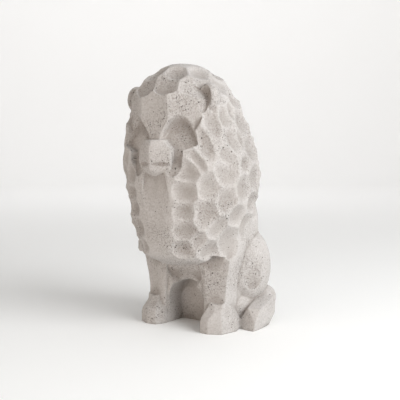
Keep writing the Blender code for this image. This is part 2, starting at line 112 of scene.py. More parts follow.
def add_drum(bm, levels, squareness, offset=0.0):
    """Add a closed drum whose rings follow the table, standing the offset to one side."""
    rows = smooth_levels(levels, RINGS_PER_STEP)
    drum = bmesh.new()
    ring = bmesh.ops.create_circle(drum, cap_ends=True, segments=RING_POINTS, radius=1.0)["verts"]
    for row in rows[1:]:
        inside = set(ring)
        edges = {e for v in ring for e in v.link_edges if e.verts[0] in inside and e.verts[1] in inside}
        grown = bmesh.ops.extrude_edge_only(drum, edges=list(edges))
        ring = [part for part in grown["geom"] if isinstance(part, bmesh.types.BMVert)]
        bmesh.ops.translate(drum, verts=ring, vec=(0.0, 0.0, 1.0))
    bmesh.ops.contextual_create(drum, geom=ring)
    for v in drum.verts:
        z, half_width, front, back = rows[round(v.co.z)]
        x, y = ring_point(math.atan2(v.co.x, -v.co.y), half_width, front, back, squareness)
        v.co = Vector((x + offset, y, z)) * PART
    mesh = bpy.data.meshes.new("drum")
    drum.to_mesh(mesh)
    drum.free()
    bm.from_mesh(mesh)
    bpy.data.meshes.remove(mesh)


def add_ball(bm, centre, radii, fineness=4):
    """Add a closed ellipsoid."""
    size = Matrix.Diagonal((*(r * PART for r in radii), 1.0))
    place = Matrix.Translation(Vector(centre) * PART)
    bmesh.ops.create_icosphere(bm, subdivisions=fineness, radius=1.0, matrix=place @ size)


def add_block(bm, corners):
    """Add the convex block round the corners given."""
    points = [bm.verts.new(Vector(corner) * PART) for corner in corners]
    hull = bmesh.ops.convex_hull(bm, input=points)
    spare = {v for v in hull["geom_interior"] + hull["geom_unused"] if isinstance(v, bmesh.types.BMVert)}
    bmesh.ops.delete(bm, geom=list(spare), context="VERTS")


def mirrored(side, place):
    """The same place or direction on the lion's right when side is -1."""
    return (side * place[0], place[1], place[2])


def mesh_object(name, bm):
    """Put a bmesh in a new object, with its faces turned outwards."""
    bmesh.ops.recalc_face_normals(bm, faces=bm.faces)
    mesh = bpy.data.meshes.new(name)
    bm.to_mesh(mesh)
    bm.free()
    thing = bpy.data.objects.new(name, mesh)
    bpy.context.scene.collection.objects.link(thing)
    return thing


# %% [markdown]
# ## Mane, head and trunk
#
# Mane and head are one smooth egg, cut off at the bottom, because on the real lion no neck shows.
# The trunk is a plainer drum behind it, a little squarer, and it reaches below the ground, where
# the saw cut will be.

# %% Mane and trunk
MANE_LEVELS = [  # height, half width, front, back
    (280.0, 13.0, -30.0, 2.0),
    (273.0, 29.0, -44.0, 18.0),
    (260.0, 45.0, -59.0, 34.0),
    (240.0, 57.0, -69.0, 48.0),
    (212.0, 66.0, -70.0, 60.5),
    (180.0, 73.5, -69.0, 69.0),
    (152.0, 73.5, -66.0, 70.0),
    (128.0, 69.5, -63.0, 65.0),
    (106.0, 62.0, -61.0, 54.0),
    (90.0, 53.0, -58.0, 40.0),
    (79.0, 44.0, -50.0, 20.0),
    (70.0, 30.0, -34.0, 10.0),
]
MANE_SQUARENESS = 2.2
TRUNK_LEVELS = [
    (-8.0, 44.0, -8.0, 74.0),
    (12.0, 50.0, -11.0, 79.0),
    (40.0, 53.0, -13.0, 81.0),
    (64.0, 56.0, -15.0, 81.0),
    (90.0, 57.5, -26.0, 79.0),
    (118.0, 58.5, -34.0, 77.0),
    (146.0, 58.0, -30.0, 73.0),
    (168.0, 48.0, -20.0, 66.0),
]
TRUNK_SQUARENESS = 2.6

clay = bmesh.new()
add_drum(clay, MANE_LEVELS, MANE_SQUARENESS)
trunk_clay = bmesh.new()
add_drum(trunk_clay, TRUNK_LEVELS, TRUNK_SQUARENESS)
trunk = mesh_object("trunk", trunk_clay)
print("mane and trunk:", len(clay.faces), "and", len(trunk.data.polygons), "faces")

# %% [markdown]
# ## The arch between the forelegs
#
# Between the forelegs the carver sank a recess with a round top. A Boolean modifier takes it out of
# the trunk before anything is fused, with an extruded arch as the cutter.

# %% Recess
NICHE_HALF_WIDTH = 23.5
NICHE_HEIGHT = 50.0
NICHE_BACK = 16.0
NICHE_FRONT = -60.0
NICHE_BOTTOM = -20.0
NICHE_ARCH_STEPS = 48


def apply_modifiers(thing):
    """Replace an object's mesh by the one its modifiers give."""
    seen = thing.evaluated_get(bpy.context.evaluated_depsgraph_get())
    mesh = bpy.data.meshes.new_from_object(seen)
    thing.modifiers.clear()
    old = thing.data
    thing.data = mesh
    bpy.data.meshes.remove(old)


arch = bmesh.new()
spring = NICHE_HEIGHT - NICHE_HALF_WIDTH
start = arch.verts.new(Vector((NICHE_HALF_WIDTH, NICHE_FRONT, spring)) * PART)
hub = (0.0, NICHE_FRONT * PART, spring * PART)
bmesh.ops.spin(arch, geom=[start], cent=hub, axis=(0.0, -1.0, 0.0), angle=math.pi, steps=NICHE_ARCH_STEPS,
               use_merge=False)
for x in (-NICHE_HALF_WIDTH, NICHE_HALF_WIDTH):
    arch.verts.new(Vector((x, NICHE_FRONT, NICHE_BOTTOM)) * PART)
outline = sorted(arch.verts, key=lambda v: math.atan2(v.co.x, v.co.z - spring * PART))
front = arch.faces.new(outline)
grown = bmesh.ops.extrude_face_region(arch, geom=[front])
moved = [part for part in grown["geom"] if isinstance(part, bmesh.types.BMVert)]
bmesh.ops.translate(arch, verts=moved, vec=(0.0, (NICHE_BACK - NICHE_FRONT) * PART, 0.0))
cutter = mesh_object("arch", arch)
recess = trunk.modifiers.new("Recess", "BOOLEAN")
recess.operation = "DIFFERENCE"
recess.object = cutter
apply_modifiers(trunk)
bpy.data.objects.remove(cutter, do_unlink=True)
print("trunk with its recess:", len(trunk.data.polygons), "faces")

# %% [markdown]
# ## Legs, paws, haunches and feet
#
# Everything that comes in pairs is added for both sides with one loop. The forelegs are almost
# square in section, as the real ones are, with a crisp corner down the front. Each paw is a block
# with flat sides that slopes up to the leg: one outline, drawn at several heights and sizes, with
# the convex hull round all of them.

# %% Legs and haunches
LEG_OFFSET = 37.5
LEG_LEVELS = [
    (-8.0, 13.0, -14.5, 16.0),
    (20.0, 12.8, -14.5, 15.0),
    (36.0, 13.0, -14.5, 15.0),
    (52.0, 14.5, -15.5, 16.0),
    (70.0, 18.0, -18.0, 18.0),
    (92.0, 22.0, -30.0, 20.0),
    (112.0, 20.0, -34.0, 20.0),
]
LEG_SQUARENESS = 9.0
PAW_CENTRE = (39.0, -4.0)
PAW_OUTLINE = [  # the left paw's corners on the ground
    (24.0, -15.0),
    (29.5, -27.0),
    (40.0, -28.5),
    (53.5, -21.0),
    (58.5, 0.0),
    (55.0, 12.0),
    (24.0, 10.0),
]
PAW_LEVELS = [  # height and the outline's size there
    (-8.0, 0.94),
    (3.0, 1.0),
    (11.0, 1.0),
    (16.0, 0.93),
    (32.0, 0.42),
]
HAUNCH_CENTRE = (39.5, 44.0, 62.0)
HAUNCH_RADII = (29.5, 34.5, 45.0)
FOOT_OFFSET = 42.0
FOOT_LEVELS = [
    (-8.0, 15.0, 14.0, 72.0),
    (10.0, 17.0, 10.0, 73.0),
    (24.0, 17.0, 11.0, 72.0),
    (36.0, 13.0, 18.0, 66.0),
]
FOOT_SQUARENESS = 3.0

paw = []
for z, size in PAW_LEVELS:
    for x, y in PAW_OUTLINE:
        middle_x, middle_y = PAW_CENTRE
        paw.append((middle_x + (x - middle_x) * size, middle_y + (y - middle_y) * size, z))
for side in (-1, 1):
    add_drum(clay, LEG_LEVELS, LEG_SQUARENESS, side * LEG_OFFSET)
    add_block(clay, [mirrored(side, corner) for corner in paw])
    add_ball(clay, mirrored(side, HAUNCH_CENTRE), HAUNCH_RADII)
    add_drum(clay, FOOT_LEVELS, FOOT_SQUARENESS, side * FOOT_OFFSET)
print("with legs and haunches:", len(clay.faces), "faces")

# %% [markdown]
# ## Tail
#
# The tail comes round the left haunch only. Its cord is a row of balls so close that they read as
# one roll, and its tuft is a blunt block with flat sides, as if struck off with a flat chisel.

# %% Tail
TAIL_STEPS = [  # x, y, z and thickness, from the root to the tuft
    (8.0, 76.0, 27.0, 11.0),
    (30.0, 77.0, 25.0, 12.0),
    (48.0, 72.0, 25.0, 13.5),
    (56.5, 61.0, 24.5, 13.5),
    (57.0, 45.0, 15.0, 12.0),
]
TAIL_BALLS_PER_STEP = 15
TUFT_CORNERS = [
    (52.0, 14.0, -6.0),
    (72.5, 8.0, -6.0),
    (70.0, 44.0, -6.0),
    (58.0, 60.0, -6.0),
    (54.0, 11.0, 7.0),
    (75.0, 9.5, 8.0),
    (77.5, 38.0, 9.0),
    (73.5, 56.0, 12.0),
    (64.0, 13.0, 23.5),
    (77.0, 17.5, 22.0),
    (73.0, 54.0, 26.0),
    (69.5, 66.0, 31.0),
    (58.0, 67.0, 37.0),
    (55.0, 40.0, 27.0),
]

for x, y, z, radius in smooth_levels(TAIL_STEPS, TAIL_BALLS_PER_STEP):
    add_ball(clay, (x, y, z), (radius, radius, radius), 3)
add_block(clay, TUFT_CORNERS)
print("with the tail:", len(clay.faces), "faces")

# %% [markdown]
# ## One skin
#
# A Remesh modifier in voxel mode wraps all the shells in one closed skin of small even squares. One
# skin is what makes the carving possible: a stroke across two masses cuts them as one stone.

# %% Fuse the shells
SKIN_VOXEL = 0.85


def join(target, others):
    """Join other objects' meshes into the target's."""
    bm = bmesh.new()
    for thing in (target, *others):
        bm.from_mesh(thing.data)
    bm.to_mesh(target.data)
    bm.free()
    for thing in others:
        bpy.data.objects.remove(thing, do_unlink=True)


def fuse(thing):
    """Wrap overlapping shells in one skin."""
    remesh = thing.modifiers.new("Fuse", "REMESH")
    remesh.mode = "VOXEL"
    remesh.voxel_size = SKIN_VOXEL * PART
    apply_modifiers(thing)


lion = trunk
join(lion, [mesh_object("clay", clay)])
fuse(lion)
print("skin of", len(lion.data.vertices), "points")

# %% [markdown]
# ## Gouge strokes
#
# A gouge takes out a shallow dish. In code a stroke is a bowl in space, a paraboloid given by its
# lowest point, the way it opens and its width, length and depth. Every point of the skin that
# stands in the bowl is pushed down onto it. Where two bowls meet, a ridge is left between them, as
# on the stone. Pits with flat walls, for the eye and the mouth, work the same way, and each point
# goes to its nearest wall. A Boolean cut for each stroke would give the same shape, but well over a
# hundred of them would be slow and could fail. Each stroke is also noted in a list, because all of
# them are made a second time later.

# %% Strokes
def cut_dish(points, bottom, outward, width, length, depth, lean=0.0, thick=12.0, spread=1.25):
    """Cut one gouge stroke: a dish with its lowest point at bottom, opening outwards.

    width runs level and length runs up the surface, both leaning by the angle given. depth is how
    far the dish's rim, that wide and long, stands above its lowest point. The stroke takes only
    material up to thick above the bottom, and it ends spread times as far out as the rim.
    """
    axis = Vector(outward).normalized()
    level = Vector((0.0, 0.0, 1.0)).cross(axis)
    level.normalize()
    level.rotate(Matrix.Rotation(lean, 3, axis))
    up = axis.cross(level)
    offset = points - np.array(bottom)
    out = offset @ np.array(axis)
    share = (2 * offset @ np.array(level) / width) ** 2 + (2 * offset @ np.array(up) / length) ** 2
    over = out - depth * share
    hit = (over > 0) & (out < thick) & (share < spread**2)
    points[hit] -= over[hit, None] * np.array(axis)


def cut_pit(points, middle, along, width, walls, reach):
    """Cut a pit whose walls are given as a place on each, the way it faces, and its rise.

    Each wall curves along one direction and stands forward by its rise at half the width from the
    middle. Nothing farther from the middle than reach is cut.
    """
    offset = points - np.array(middle)
    bend = (2 * offset @ np.array(Vector(along).normalized()) / width) ** 2
    facings = [np.array(Vector(facing).normalized()) for place, facing, rise in walls]
    over = []
    for (place, facing, rise), way in zip(walls, facings):
        over.append((points - np.array(place)) @ way - rise * bend)
    over = np.array(over)
    inside = (over > 0).all(axis=0) & (np.linalg.norm(offset, axis=1) < reach)
    nearest = over.argmin(axis=0)
    for index, way in enumerate(facings):
        hit = inside & (nearest == index)
        points[hit] -= over[index][hit, None] * way


def skin_points(thing):
    """The points of an object's mesh, counted in parts."""
    flat = np.empty(len(thing.data.vertices) * 3)
    thing.data.vertices.foreach_get("co", flat)
    return flat.reshape(-1, 3) / PART


def move_skin(thing, points):
    """Move an object's mesh to the points given in parts."""
    thing.data.vertices.foreach_set("co", (points * PART).ravel())
    thing.data.update()


strokes = []


def stroke(cut, *arguments, **options):
    """Make one stroke in the skin and note it."""
    strokes.append((cut, arguments, options))
    cut(points, *arguments, **options)


points = skin_points(lion)
print("skin from", points.min(axis=0).round(1), "to", points.max(axis=0).round(1))

# %% [markdown]
# ## Planes of the face
#
# The face is an upright plane with a second one for the beard. The temples slant back from it with a
# crisp corner. Each eye is only a pit: a dark arched wall under the brow, a lighter cheek below it
# and the lit side of the nose. The cheek's plane runs on down beside the mouth, so that the muzzle
# will stand proud of it.

# %% Face
FACE_FRONT = (0.0, -64.5, 215.0)
FACE_SIZE = (70.0, 120.0, 1.5)
BEARD_FRONT = (0.0, -61.5, 128.0)
BEARD_FACING = (0.0, -1.0, -0.05)
BEARD_SIZE = (34.0, 120.0, 1.2)
TEMPLE_PLACE = (28.0, -56.8, 235.0)
TEMPLE_FACING = (0.533, -0.847, 0.0)
TEMPLE_SIZE = (44.0, 60.0, 1.6)
EYE_CREASE = (24.0, -50.5, 217.5)
EYE_WIDTH = 26.0
EYE_REACH = 30.0
EYE_ALONG = (0.89, 0.41, -0.18)
BROW_FACING = (0.20, -0.72, -0.66)
BROW_ARCH = 7.0
CHEEK_FACING = (0.36, -0.91, 0.20)
CHEEK_SCOOP = 1.0
NOSE_EDGE = (6.6, -64.5, 202.0)
NOSE_FACING = (0.90, -0.38, -0.22)
JOWL_PLACE = (19.0, -58.0, 188.0)
JOWL_SIZE = (20.0, 44.0, 1.0)

stroke(cut_dish, FACE_FRONT, (0.0, -1.0, 0.0), *FACE_SIZE)
stroke(cut_dish, BEARD_FRONT, BEARD_FACING, *BEARD_SIZE, spread=1.0)
for side in (-1, 1):
    stroke(cut_dish, mirrored(side, TEMPLE_PLACE), mirrored(side, TEMPLE_FACING), *TEMPLE_SIZE, spread=1.0)
    crease = mirrored(side, EYE_CREASE)
    brow = (crease, mirrored(side, BROW_FACING), BROW_ARCH)
    cheek = (crease, mirrored(side, CHEEK_FACING), CHEEK_SCOOP)
    nose = (mirrored(side, NOSE_EDGE), mirrored(side, NOSE_FACING), 0.0)
    stroke(cut_dish, mirrored(side, JOWL_PLACE), mirrored(side, CHEEK_FACING), *JOWL_SIZE, spread=1.1)
    stroke(cut_pit, crease, mirrored(side, EYE_ALONG), EYE_WIDTH, (brow, cheek, nose), EYE_REACH)
print("face cut back to y =", round(FACE_FRONT[1], 1))

# %% [markdown]
# ## Forelock
#
# Over the forehead the first row of the mane is cut as broad, nearly flat facets that face forward
# and up, with sharp upright edges between them.

# %% Forelock
FORELOCKS = [  # x, y, z and the turn from the front
    (-15.0, -54.0, 262.0, -0.35),
    (10.5, -55.0, 263.5, 0.05),
    (35.0, -46.0, 260.0, 0.7),
]
FORELOCK_UPWARDS = 0.4
FORELOCK_SINK = 3.6
FORELOCK_SIZE = (25.0, 26.0, 1.4)

for x, y, z, turn in FORELOCKS:
    outward = Vector((math.sin(turn), -math.cos(turn), FORELOCK_UPWARDS)).normalized()
    stroke(cut_dish, Vector((x, y, z)) - outward * FORELOCK_SINK, outward, *FORELOCK_SIZE, spread=1.5)
print(len(FORELOCKS), "facets over the forehead")

# %% [markdown]
# ## Honeycomb of the mane
#
# The dishes of the mane stand in staggered columns, like cells of a honeycomb, each shaken a little
# out of its place and size so that no two ridges match. Their floors tip slightly upwards, which
# gives the lit floor and the dark crescent above it. Beside the face the cells stretch into long
# leaning locks, and down both sides of the beard they are smaller. The random numbers come from a
# fixed seed, so the lion is the same each time.

# %% One cell of the mane
CELL_WIDTH = 30.0
CELL_LENGTH = 31.0
CELL_DEPTH = 4.6
CELL_SINK = 5.3
CELL_JITTER = 2.2
CELL_RADIUS = 70.0
CELL_TILT = 0.09
CELL_LIFT = (0.04, 0.20)
CELL_SIZES = (0.92, 1.10)
CELL_SEED = 7
NARROW_CELL_SHARE = 0.1  # added to a narrow cell's share of the full sink
TURN_STEP = 0.02  # how far apart in angle and height the surface is felt for its slope
HEIGHT_STEP = 1.0

mane_levels = smooth_levels(MANE_LEVELS, RINGS_PER_STEP)
draw = random.Random(CELL_SEED)


def mane_surface(angle, z):
    """A point of the mane's egg and the direction it faces."""
    def at(a, height):
        row = [np.interp(height, mane_levels[:, 0], mane_levels[:, c]) for c in (1, 2, 3)]
        return Vector((*ring_point(a, *row, MANE_SQUARENESS), height))
    along = at(angle + TURN_STEP, z) - at(angle - TURN_STEP, z)
    upwards = at(angle, z + HEIGHT_STEP) - at(angle, z - HEIGHT_STEP)
    return at(angle, z), along.cross(upwards).normalized()


def cut_cell(angle, z, width, length, lean=0.0):
    """Cut one dish of the mane, shaken a little out of its place."""
    angle += draw.uniform(-CELL_JITTER, CELL_JITTER) / CELL_RADIUS
    z += draw.uniform(-CELL_JITTER, CELL_JITTER)
    size = draw.uniform(*CELL_SIZES)
    here, outward = mane_surface(angle, z)
    sideways = [draw.uniform(-CELL_TILT, CELL_TILT) for axis in "xy"]
    outward = (outward + Vector((*sideways, draw.uniform(*CELL_LIFT)))).normalized()
    bottom = here - outward * CELL_SINK * size * min(1.0, width / CELL_WIDTH + NARROW_CELL_SHARE)
    stroke(cut_dish, bottom, outward, width * size, length * size, CELL_DEPTH, lean)


# %% Beard rows, locks and crown
BEARD_COLUMN = math.radians(27.0)
BEARD_CELL = (27.0, 24.0)
BEARD_ROWS = (166.0, 146.0, 126.5, 108.0, 91.0)
LOCKS = [  # turn from the front, height, width, length and lean
    (38.0, 178.0, 18.0, 40.0, 38.0),
    (47.0, 195.0, 20.0, 50.0, 32.0),
    (67.0, 180.0, 25.0, 42.0, 32.0),
    (58.0, 214.0, 19.0, 42.0, 26.0),
    (76.0, 199.0, 22.0, 36.0, 22.0),
    (60.0, 236.0, 18.0, 26.0, 5.0),
    (73.0, 223.0, 19.0, 28.0, 10.0),
    (87.0, 230.0, 20.0, 27.0, 4.0),
    (89.0, 203.0, 20.0, 27.0, 4.0),
    (84.0, 175.0, 20.0, 27.0, 8.0),
]
CROWN_ROWS = [  # height and the turn of the first
    (256.0, 60.0),
    (270.0, 20.0),
]
CROWN_PITCH = 25.0
CROWN_TURN = math.radians(50.0)
CROWN_HEIGHT = 265.0

for side in (-1, 1):
    for z in BEARD_ROWS:
        cut_cell(side * BEARD_COLUMN, z, *BEARD_CELL)
    for turn, z, width, length, lean in LOCKS:
        cut_cell(side * math.radians(turn), z, width, length, side * math.radians(lean))
for z, first in CROWN_ROWS:
    half_width = np.interp(z, mane_levels[:, 0], mane_levels[:, 1])
    count = round(math.tau * half_width / CROWN_PITCH)
    for k in range(count):
        angle = math.radians(first) + math.tau * k / count
        if abs(math.remainder(angle, math.tau)) > CROWN_TURN or z > CROWN_HEIGHT:
            cut_cell(angle, z, CELL_WIDTH, CELL_LENGTH)
print(2 * (len(BEARD_ROWS) + len(LOCKS)), "locks and beard cells")

# %% The rest of the honeycomb
CELL_COLUMNS = 20
CELL_FIRST_COLUMN = math.radians(27.0)
CELL_PITCH = 26.6
CELL_TOP_ROW = 241.8
CELL_ROWS = 8
FACE_TURN = math.radians(36.0)
LOCKS_TURN = math.radians(86.0)
LOWEST_CELL = 89.0
MANE_EDGE_FRONT = -12.0
MANE_EDGE_HEIGHT = 97.0
MANE_EDGE_SLOPE = 0.6
MANE_EDGE_CELL = 6.0
MANE_EDGE_GAP = 13.0


def mane_edge(y):
    """Height of the mane's lower edge, given how far back a point lies."""
    if y < MANE_EDGE_FRONT:
        return 0.0
    return MANE_EDGE_HEIGHT + MANE_EDGE_SLOPE * (y - MANE_EDGE_FRONT)


cells = 0
locks_end = min(lock[1] for lock in LOCKS)
for column in range(CELL_COLUMNS):
    angle = CELL_FIRST_COLUMN + math.tau * column / CELL_COLUMNS
    turn = abs(math.remainder(angle, math.tau))
    for row in range(CELL_ROWS):
        z = CELL_TOP_ROW - CELL_PITCH * (row + (0.5 if column % 2 else 0.0))
        here, outward = mane_surface(angle, z)
        lowest = max(LOWEST_CELL, mane_edge(here.y) + MANE_EDGE_CELL)
        if z > lowest - MANE_EDGE_GAP:
            z = max(z, lowest)
        beside_face = turn < LOCKS_TURN and z > locks_end
        if turn < FACE_TURN or beside_face or z < lowest:
            continue
        cut_cell(angle, z, CELL_WIDTH, CELL_LENGTH)
        cells += 1
print(cells, "cells in the honeycomb")

# %% [markdown]
# ## Flats on legs, paws and haunches
#
# Each foreleg has one flat down its front, turned a little outwards, and a scoop where the paw
# slopes up to it. Between the legs the chest is cut back to the arch in three facets. Each haunch
# has one broad facet near the flank, which is the most pitted place on the stone.

# %% Flats
LEG_FLAT = (41.0, -12.5, 56.0)
LEG_FLAT_FACING = (0.24, -0.965, -0.08)
LEG_FLAT_SIZE = (42.0, 46.0, 1.0)
PAW_SCOOP = (37.0, -19.6, 23.0)
PAW_SCOOP_FACING = (0.05, -0.80, 0.60)
PAW_SCOOP_SIZE = (28.0, 19.0, 1.6)
CHEST_FLAT = (0.0, -11.5, 62.0)
CHEST_FLAT_FACING = (0.0, -0.80, -0.60)
CHEST_FLAT_SIZE = (42.0, 34.0, 1.0)
CHEST_FACET = (15.0, -22.0, 73.0)
CHEST_FACET_FACING = (-0.25, -0.85, -0.45)
CHEST_FACET_SIZE = (26.0, 18.0, 1.2)
CHEST_FACET_LEAN = 0.5
HAUNCH_FACET = (60.8, 21.0, 67.0)
HAUNCH_FACET_FACING = (0.86, -0.43, -0.27)
HAUNCH_FACET_SIZE = (25.0, 44.0, 2.0)
HAUNCH_FACET_LEAN = 0.35

stroke(cut_dish, CHEST_FLAT, CHEST_FLAT_FACING, *CHEST_FLAT_SIZE, spread=1.05)
for side in (-1, 1):
    facing = mirrored(side, CHEST_FACET_FACING)
    stroke(cut_dish, mirrored(side, CHEST_FACET), facing, *CHEST_FACET_SIZE, side * CHEST_FACET_LEAN)
    facing = mirrored(side, LEG_FLAT_FACING)
    stroke(cut_dish, mirrored(side, LEG_FLAT), facing, *LEG_FLAT_SIZE, spread=1.15)
    facing = mirrored(side, PAW_SCOOP_FACING)
    stroke(cut_dish, mirrored(side, PAW_SCOOP), facing, *PAW_SCOOP_SIZE, spread=1.0)
    facing = mirrored(side, HAUNCH_FACET_FACING)
    stroke(cut_dish, mirrored(side, HAUNCH_FACET), facing, *HAUNCH_FACET_SIZE, side * HAUNCH_FACET_LEAN)
move_skin(lion, points)
print("carved skin from", points.min(axis=0).round(1), "to", points.max(axis=0).round(1))

# %% [markdown]
# ## Muzzle and ears
#
# Muzzle and ears stand in front of surfaces that are already carved, so they are added now and fused
# in. The muzzle is a wedge with a ridge down its middle, made as the convex block round a few
# corners. The ears are thin lobes, hollowed in front.

# %% Add and fuse them
MUZZLE_CORNERS = [
    (0.0, -66.0, 165.0),
    (0.0, -72.0, 171.0),
    (0.0, -74.5, 182.0),
    (0.0, -74.0, 196.0),
    (0.0, -71.0, 201.0),
    (12.0, -66.5, 201.5),
    (20.0, -64.5, 192.0),
    (20.5, -65.0, 180.0),
    (18.0, -62.5, 168.5),
    (14.0, -58.0, 165.0),
    (20.0, -40.0, 192.0),
    (12.0, -40.0, 202.0),
    (18.0, -40.0, 166.0),
]
EAR_PLACE = (46.5, -34.5, 244.5)
EAR_RADII = (11.5, 9.5, 14.0)

lumps = bmesh.new()
add_block(lumps, [mirrored(side, corner) for side in (-1, 1) for corner in MUZZLE_CORNERS])
for side in (-1, 1):
    add_ball(lumps, mirrored(side, EAR_PLACE), EAR_RADII)
features = mesh_object("features", lumps)
features_tree = BVHTree.FromPolygons(
    [v.co.copy() for v in features.data.vertices], [list(face.vertices) for face in features.data.polygons]
)
join(lion, [features])
fuse(lion)
points = skin_points(lion)
print("skin of", len(points), "points with muzzle and ears")

# %% [markdown]
# ## The strokes again
#
# Fusing rounds every edge by about one voxel. So all strokes are made a second time in the new skin,
# which brings the ridges back, except near the muzzle and the ears, which they would cut away.

# %% Sharpen the ridges
NEAR_FEATURES = 2.4

near = np.array([features_tree.find_nearest(Vector(p) * PART)[3] for p in points]) < NEAR_FEATURES * PART
kept = points[near].copy()
for cut, arguments, options in strokes:
    cut(points, *arguments, **options)
points[near] = kept
print(len(strokes), "strokes again, on", int((~near).sum()), "points")

# %% Mouth and ear hollows
MOUTH_CREASE = (10.0, -65.8, 178.0)
MOUTH_ALONG = (0.92, 0.39, -0.05)
MOUTH_WIDTH = 22.0
UPPER_LIP = (0.15, -0.40, -0.90)
LOWER_LIP = (0.33, -0.78, 0.53)
LIP_RISE = 2.2
EAR_HOLLOW = (47.5, -37.5, 246.5)
EAR_HOLLOW_FACING = (-0.28, -0.955, -0.05)
EAR_HOLLOW_SIZE = (18.0, 29.0, 5.0)
EAR_LEAN = 0.25

for side in (-1, 1):
    crease = mirrored(side, MOUTH_CREASE)
    lips = [(crease, mirrored(side, facing), LIP_RISE) for facing in (UPPER_LIP, LOWER_LIP)]
    cut_pit(points, crease, mirrored(side, MOUTH_ALONG), MOUTH_WIDTH, lips, MOUTH_WIDTH / 2)
    facing = mirrored(side, EAR_HOLLOW_FACING)
    cut_dish(points, mirrored(side, EAR_HOLLOW), facing, *EAR_HOLLOW_SIZE, side * EAR_LEAN, spread=1.3)
move_skin(lion, points)
print("mouth", MOUTH_WIDTH, "parts wide on each side of the ridge")

# %% [markdown]
# ## Saw cut and an even skin
#
# The block was sawn flat before carving, so a plane cuts the skin at the ground and closes it. A
# Decimate modifier then thins the skin to a count that a viewer can carry. It takes edges from the
# flat places first, so the ridges keep theirs.

# %% Flat base
FINISHED_TRIANGLES = 190000

bm = bmesh.new()
bm.from_mesh(lion.data)
geometry = bm.verts[:] + bm.edges[:] + bm.faces[:]
cut = bmesh.ops.bisect_plane(bm, geom=geometry, plane_co=(0, 0, 0), plane_no=(0, 0, -1), clear_outer=True)
rim = [part for part in cut["geom_cut"] if isinstance(part, bmesh.types.BMEdge)]
bmesh.ops.contextual_create(bm, geom=rim)
bmesh.ops.triangulate(bm, faces=bm.faces[:])
bm.to_mesh(lion.data)
bm.free()
count = len(lion.data.polygons)
if count > FINISHED_TRIANGLES:
    thin = lion.modifiers.new("Thin", "DECIMATE")
    thin.ratio = FINISHED_TRIANGLES / count
    thin.use_collapse_triangulate = True
    apply_modifiers(lion)
print("from", count, "to", len(lion.data.polygons), "triangles")

# %% [markdown]
# ## Weathered surface
#
# Cut limestone is never quite flat. It has a slow waviness from hand work, a finer grain, and in
# places the softer shell in it has dropped out and left open pits. All three are real relief on the
# real lion, so the points are moved along their normals by noise, always less than one part. The
# rubbed places, such as the front of the face, the beard and the flanks, stay smoother. Two
# attributes are kept on the mesh for the finish: how pitted a place is, and how hollow. The hollow
# one sets the painted shade in the creases and dishes, and the chalk on the ridges.

# %% Where the stone is open and where it is rubbed smooth
WAVE_SIZE = 11.0
WAVE_DEPTH = 0.28
GRAIN_SIZE = 3.2
GRAIN_DEPTH = 0.16
PIT_SPACING = 4.6
PIT_RADIUS = 0.36
PIT_DEPTH = 0.55
PATCH_SIZE = 26.0
PATCH_MIDDLE = 0.42  # how pitted the stone is on average, and how much that varies in patches
PATCH_RANGE = 1.1
RUBBED_SHARE = 0.9  # how much of the pitting is gone in the middle of a smooth place
EDGE_STEEPNESS = 1.6
GRAIN_WHERE_SMOOTH = 0.35
UNDERSIDE_BAND = 0.5
OPEN_PLACES = [  # centre and radius of places where the stone is pitted
    ((29.0, -56.0, 240.0), 20.0),
    ((27.0, -50.0, 208.0), 20.0),
    ((38.0, -12.0, 55.0), 24.0),
    ((18.0, -58.0, 100.0), 24.0),
    ((60.0, 28.0, 54.0), 22.0),
    ((10.0, -50.0, 262.0), 22.0),
    ((0.0, -64.0, 182.0), 14.0),
]
SMOOTH_PLACES = [  # centre and radius of places that are rubbed smooth
    ((-4.0, -64.0, 236.0), 22.0),
    ((4.0, -62.0, 150.0), 20.0),
    ((4.0, -62.0, 125.0), 18.0),
    ((-34.0, -14.0, 50.0), 26.0),
    ((60.0, -6.0, 90.0), 24.0),
    ((58.0, 50.0, 84.0), 26.0),
]


def ball_share(points, places):
    """How far inside the nearest of several balls each point lies, from 0 at its edge to 1."""
    share = np.zeros(len(points))
    for centre, radius in places:
        far = np.linalg.norm(points - np.array(centre), axis=1) / radius
        share = np.maximum(share, np.clip(EDGE_STEEPNESS * (1.0 - far), 0.0, 1.0))
    return share


points = skin_points(lion)
patches = np.array([noise.noise(Vector(p) / PATCH_SIZE) for p in points])
pitted = np.clip(PATCH_MIDDLE + PATCH_RANGE * patches, 0.0, 1.0)
pitted = np.maximum(pitted, ball_share(points, OPEN_PLACES))
pitted *= 1.0 - RUBBED_SHARE * ball_share(points, SMOOTH_PLACES)
print("pitted share of the skin:", round(float(pitted.mean()), 2))


# %% Move the points
def smoothed(values, edges, rounds):
    """Average values over neighbouring points, several times."""
    count = np.bincount(edges.ravel(), minlength=len(values))[:, None]
    for _ in range(rounds):
        total = np.zeros_like(values)
        np.add.at(total, edges[:, 0], values[edges[:, 1]])
        np.add.at(total, edges[:, 1], values[edges[:, 0]])
        values = total / count
    return values


mesh = lion.data
normals = np.empty(len(mesh.vertices) * 3)
mesh.vertex_normals.foreach_get("vector", normals)
normals = normals.reshape(-1, 3)
edges = np.empty(len(mesh.edges) * 2, dtype=int)
mesh.edges.foreach_get("vertices", edges)
edges = edges.reshape(-1, 2)

HOLLOW_ROUNDS = 12
HOLLOW_FULL = 0.5  # how far inwards the averaged skin must lie for a full hollow
inward = ((smoothed(points, edges, HOLLOW_ROUNDS) - points) * normals).sum(axis=1)
hollow = np.clip(inward / HOLLOW_FULL, -1.0, 1.0)

